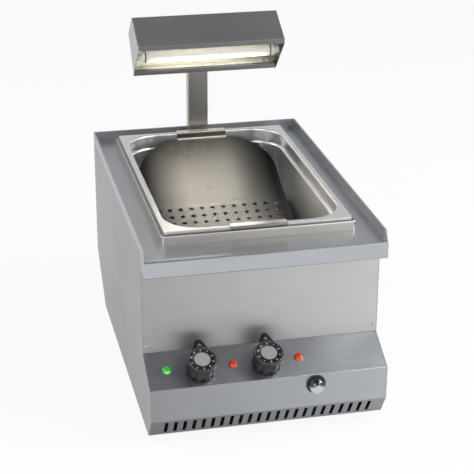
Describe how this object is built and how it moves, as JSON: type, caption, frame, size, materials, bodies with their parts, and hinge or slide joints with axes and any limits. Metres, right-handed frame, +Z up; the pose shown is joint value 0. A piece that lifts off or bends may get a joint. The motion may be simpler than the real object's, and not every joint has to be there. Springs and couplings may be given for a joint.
{
  "type": "chip warmer",
  "caption": "Counter-top chip warmer: stainless casing with a heated well, lift-out pan and curved perforated scoop, sloped controls, front drain and an infrared hood on a rear post",
  "frame": {"origin": "on the ground, under the middle of the whole object", "axes": "+X to the right seen from the controls, +Y from the controls to the rear, +Z up"},
  "size_m": [0.4, 0.6542, 0.583],
  "materials": {
    "casing_steel": "brushed stainless steel",
    "worktop_steel": "fine brushed stainless steel",
    "pan_steel": "polished stainless steel",
    "scoop_steel": "satin stainless steel",
    "hood_steel": "satin stainless steel",
    "reflector_metal": "bright rolled reflector sheet",
    "tube_quartz": "frosted off-white quartz",
    "holder_ceramic": "unglazed white ceramic",
    "knob_black": "moulded black phenolic",
    "cap_silver": "spun satin disc",
    "switch_plastic": "moulded switch body",
    "shaft_steel": "turned steel",
    "lens_green": "clear green lens",
    "lens_red": "clear orange-red lens",
    "lamp_plastic": "moulded lamp body",
    "drain_steel": "plain stainless tube",
    "cap_chrome": "chrome plated",
    "foot_rubber": "moulded black rubber",
    "fastener_steel": "stainless fasteners",
    "heater_steel": "heat-tinted heater sheath",
    "block_ceramic": "white ceramic terminal block",
    "gland_plastic": "moulded black nylon"
  },
  "bodies": {
    "casing": {"back_panel": "casing_steel", "back_panel_screws": "fastener_steel", "base_plate": "casing_steel", "cable_gland": "gland_plastic", "control_panel": "casing_steel", "drain_pipe": "drain_steel", "drain_ring": "drain_steel", "element_clamps": "casing_steel", "foot_front_left": "foot_rubber", "foot_front_right": "foot_rubber", "foot_rear_left": "foot_rubber", "foot_rear_right": "foot_rubber", "foot_screws": "fastener_steel", "front_panel": "casing_steel", "front_panel_screws": "fastener_steel", "gland_locknut": "gland_plastic", "heat_shield": "casing_steel", "heating_element": "heater_steel", "hood_bracket": "hood_steel", "hood_end_left": "hood_steel", "hood_end_right": "hood_steel", "hood_shell": "hood_steel", "infrared_tube": "tube_quartz", "lamp_body_green": "lamp_plastic", "lamp_body_red_left": "lamp_plastic", "lamp_body_red_right": "lamp_plastic", "lens_green": "lens_green", "lens_red_left": "lens_red", "lens_red_right": "lens_red", "limit_thermostat": "switch_plastic", "post": "hood_steel", "post_bolts": "fastener_steel", "post_sleeve": "hood_steel", "power_regulator": "switch_plastic", "reflector": "reflector_metal", "side_panel_left": "casing_steel", "side_panel_right": "casing_steel", "terminal_block": "block_ceramic", "thermostat": "switch_plastic", "tube_holder_left": "holder_ceramic", "tube_holder_right": "holder_ceramic", "well_collar": "pan_steel", "well_tank": "pan_steel", "worktop": "worktop_steel"},
    "knob_thermostat": {"knob_left": "knob_black", "knob_cap_left": "cap_silver", "shaft_left": "shaft_steel"},
    "knob_regulator": {"knob_right": "knob_black", "knob_cap_right": "cap_silver", "shaft_right": "shaft_steel"},
    "drain_plug": {"drain_cap": "cap_chrome"},
    "pan": {"gn_pan": "pan_steel"},
    "scoop": {"scoop_insert": "scoop_steel", "scoop_hook_back": "scoop_steel", "scoop_hook_front": "scoop_steel"}
  },
  "joints": [
    {"name": "thermostat_turn", "type": "hinge", "parent": "casing", "child": "knob_thermostat", "pos_m": [-0.111, -0.28318, 0.11925], "axis": [0, -0.458, 0.889], "range_deg": [-300, 0]},
    {"name": "regulator_turn", "type": "hinge", "parent": "casing", "child": "knob_regulator", "pos_m": [0, -0.28318, 0.11925], "axis": [0, -0.458, 0.889], "range_deg": [-270, 0]},
    {"name": "drain_cap_pull", "type": "slide", "parent": "casing", "child": "drain_plug", "axis": [0, -1, 0], "range_m": [0, 0.03]},
    {"name": "pan_lift", "type": "slide", "parent": "casing", "child": "pan", "axis": [0, 0, 1], "range_m": [0, 0.06]},
    {"name": "scoop_lift", "type": "slide", "parent": "pan", "child": "scoop", "axis": [0, 0, 1], "range_m": [0, 0.06]}
  ]
}
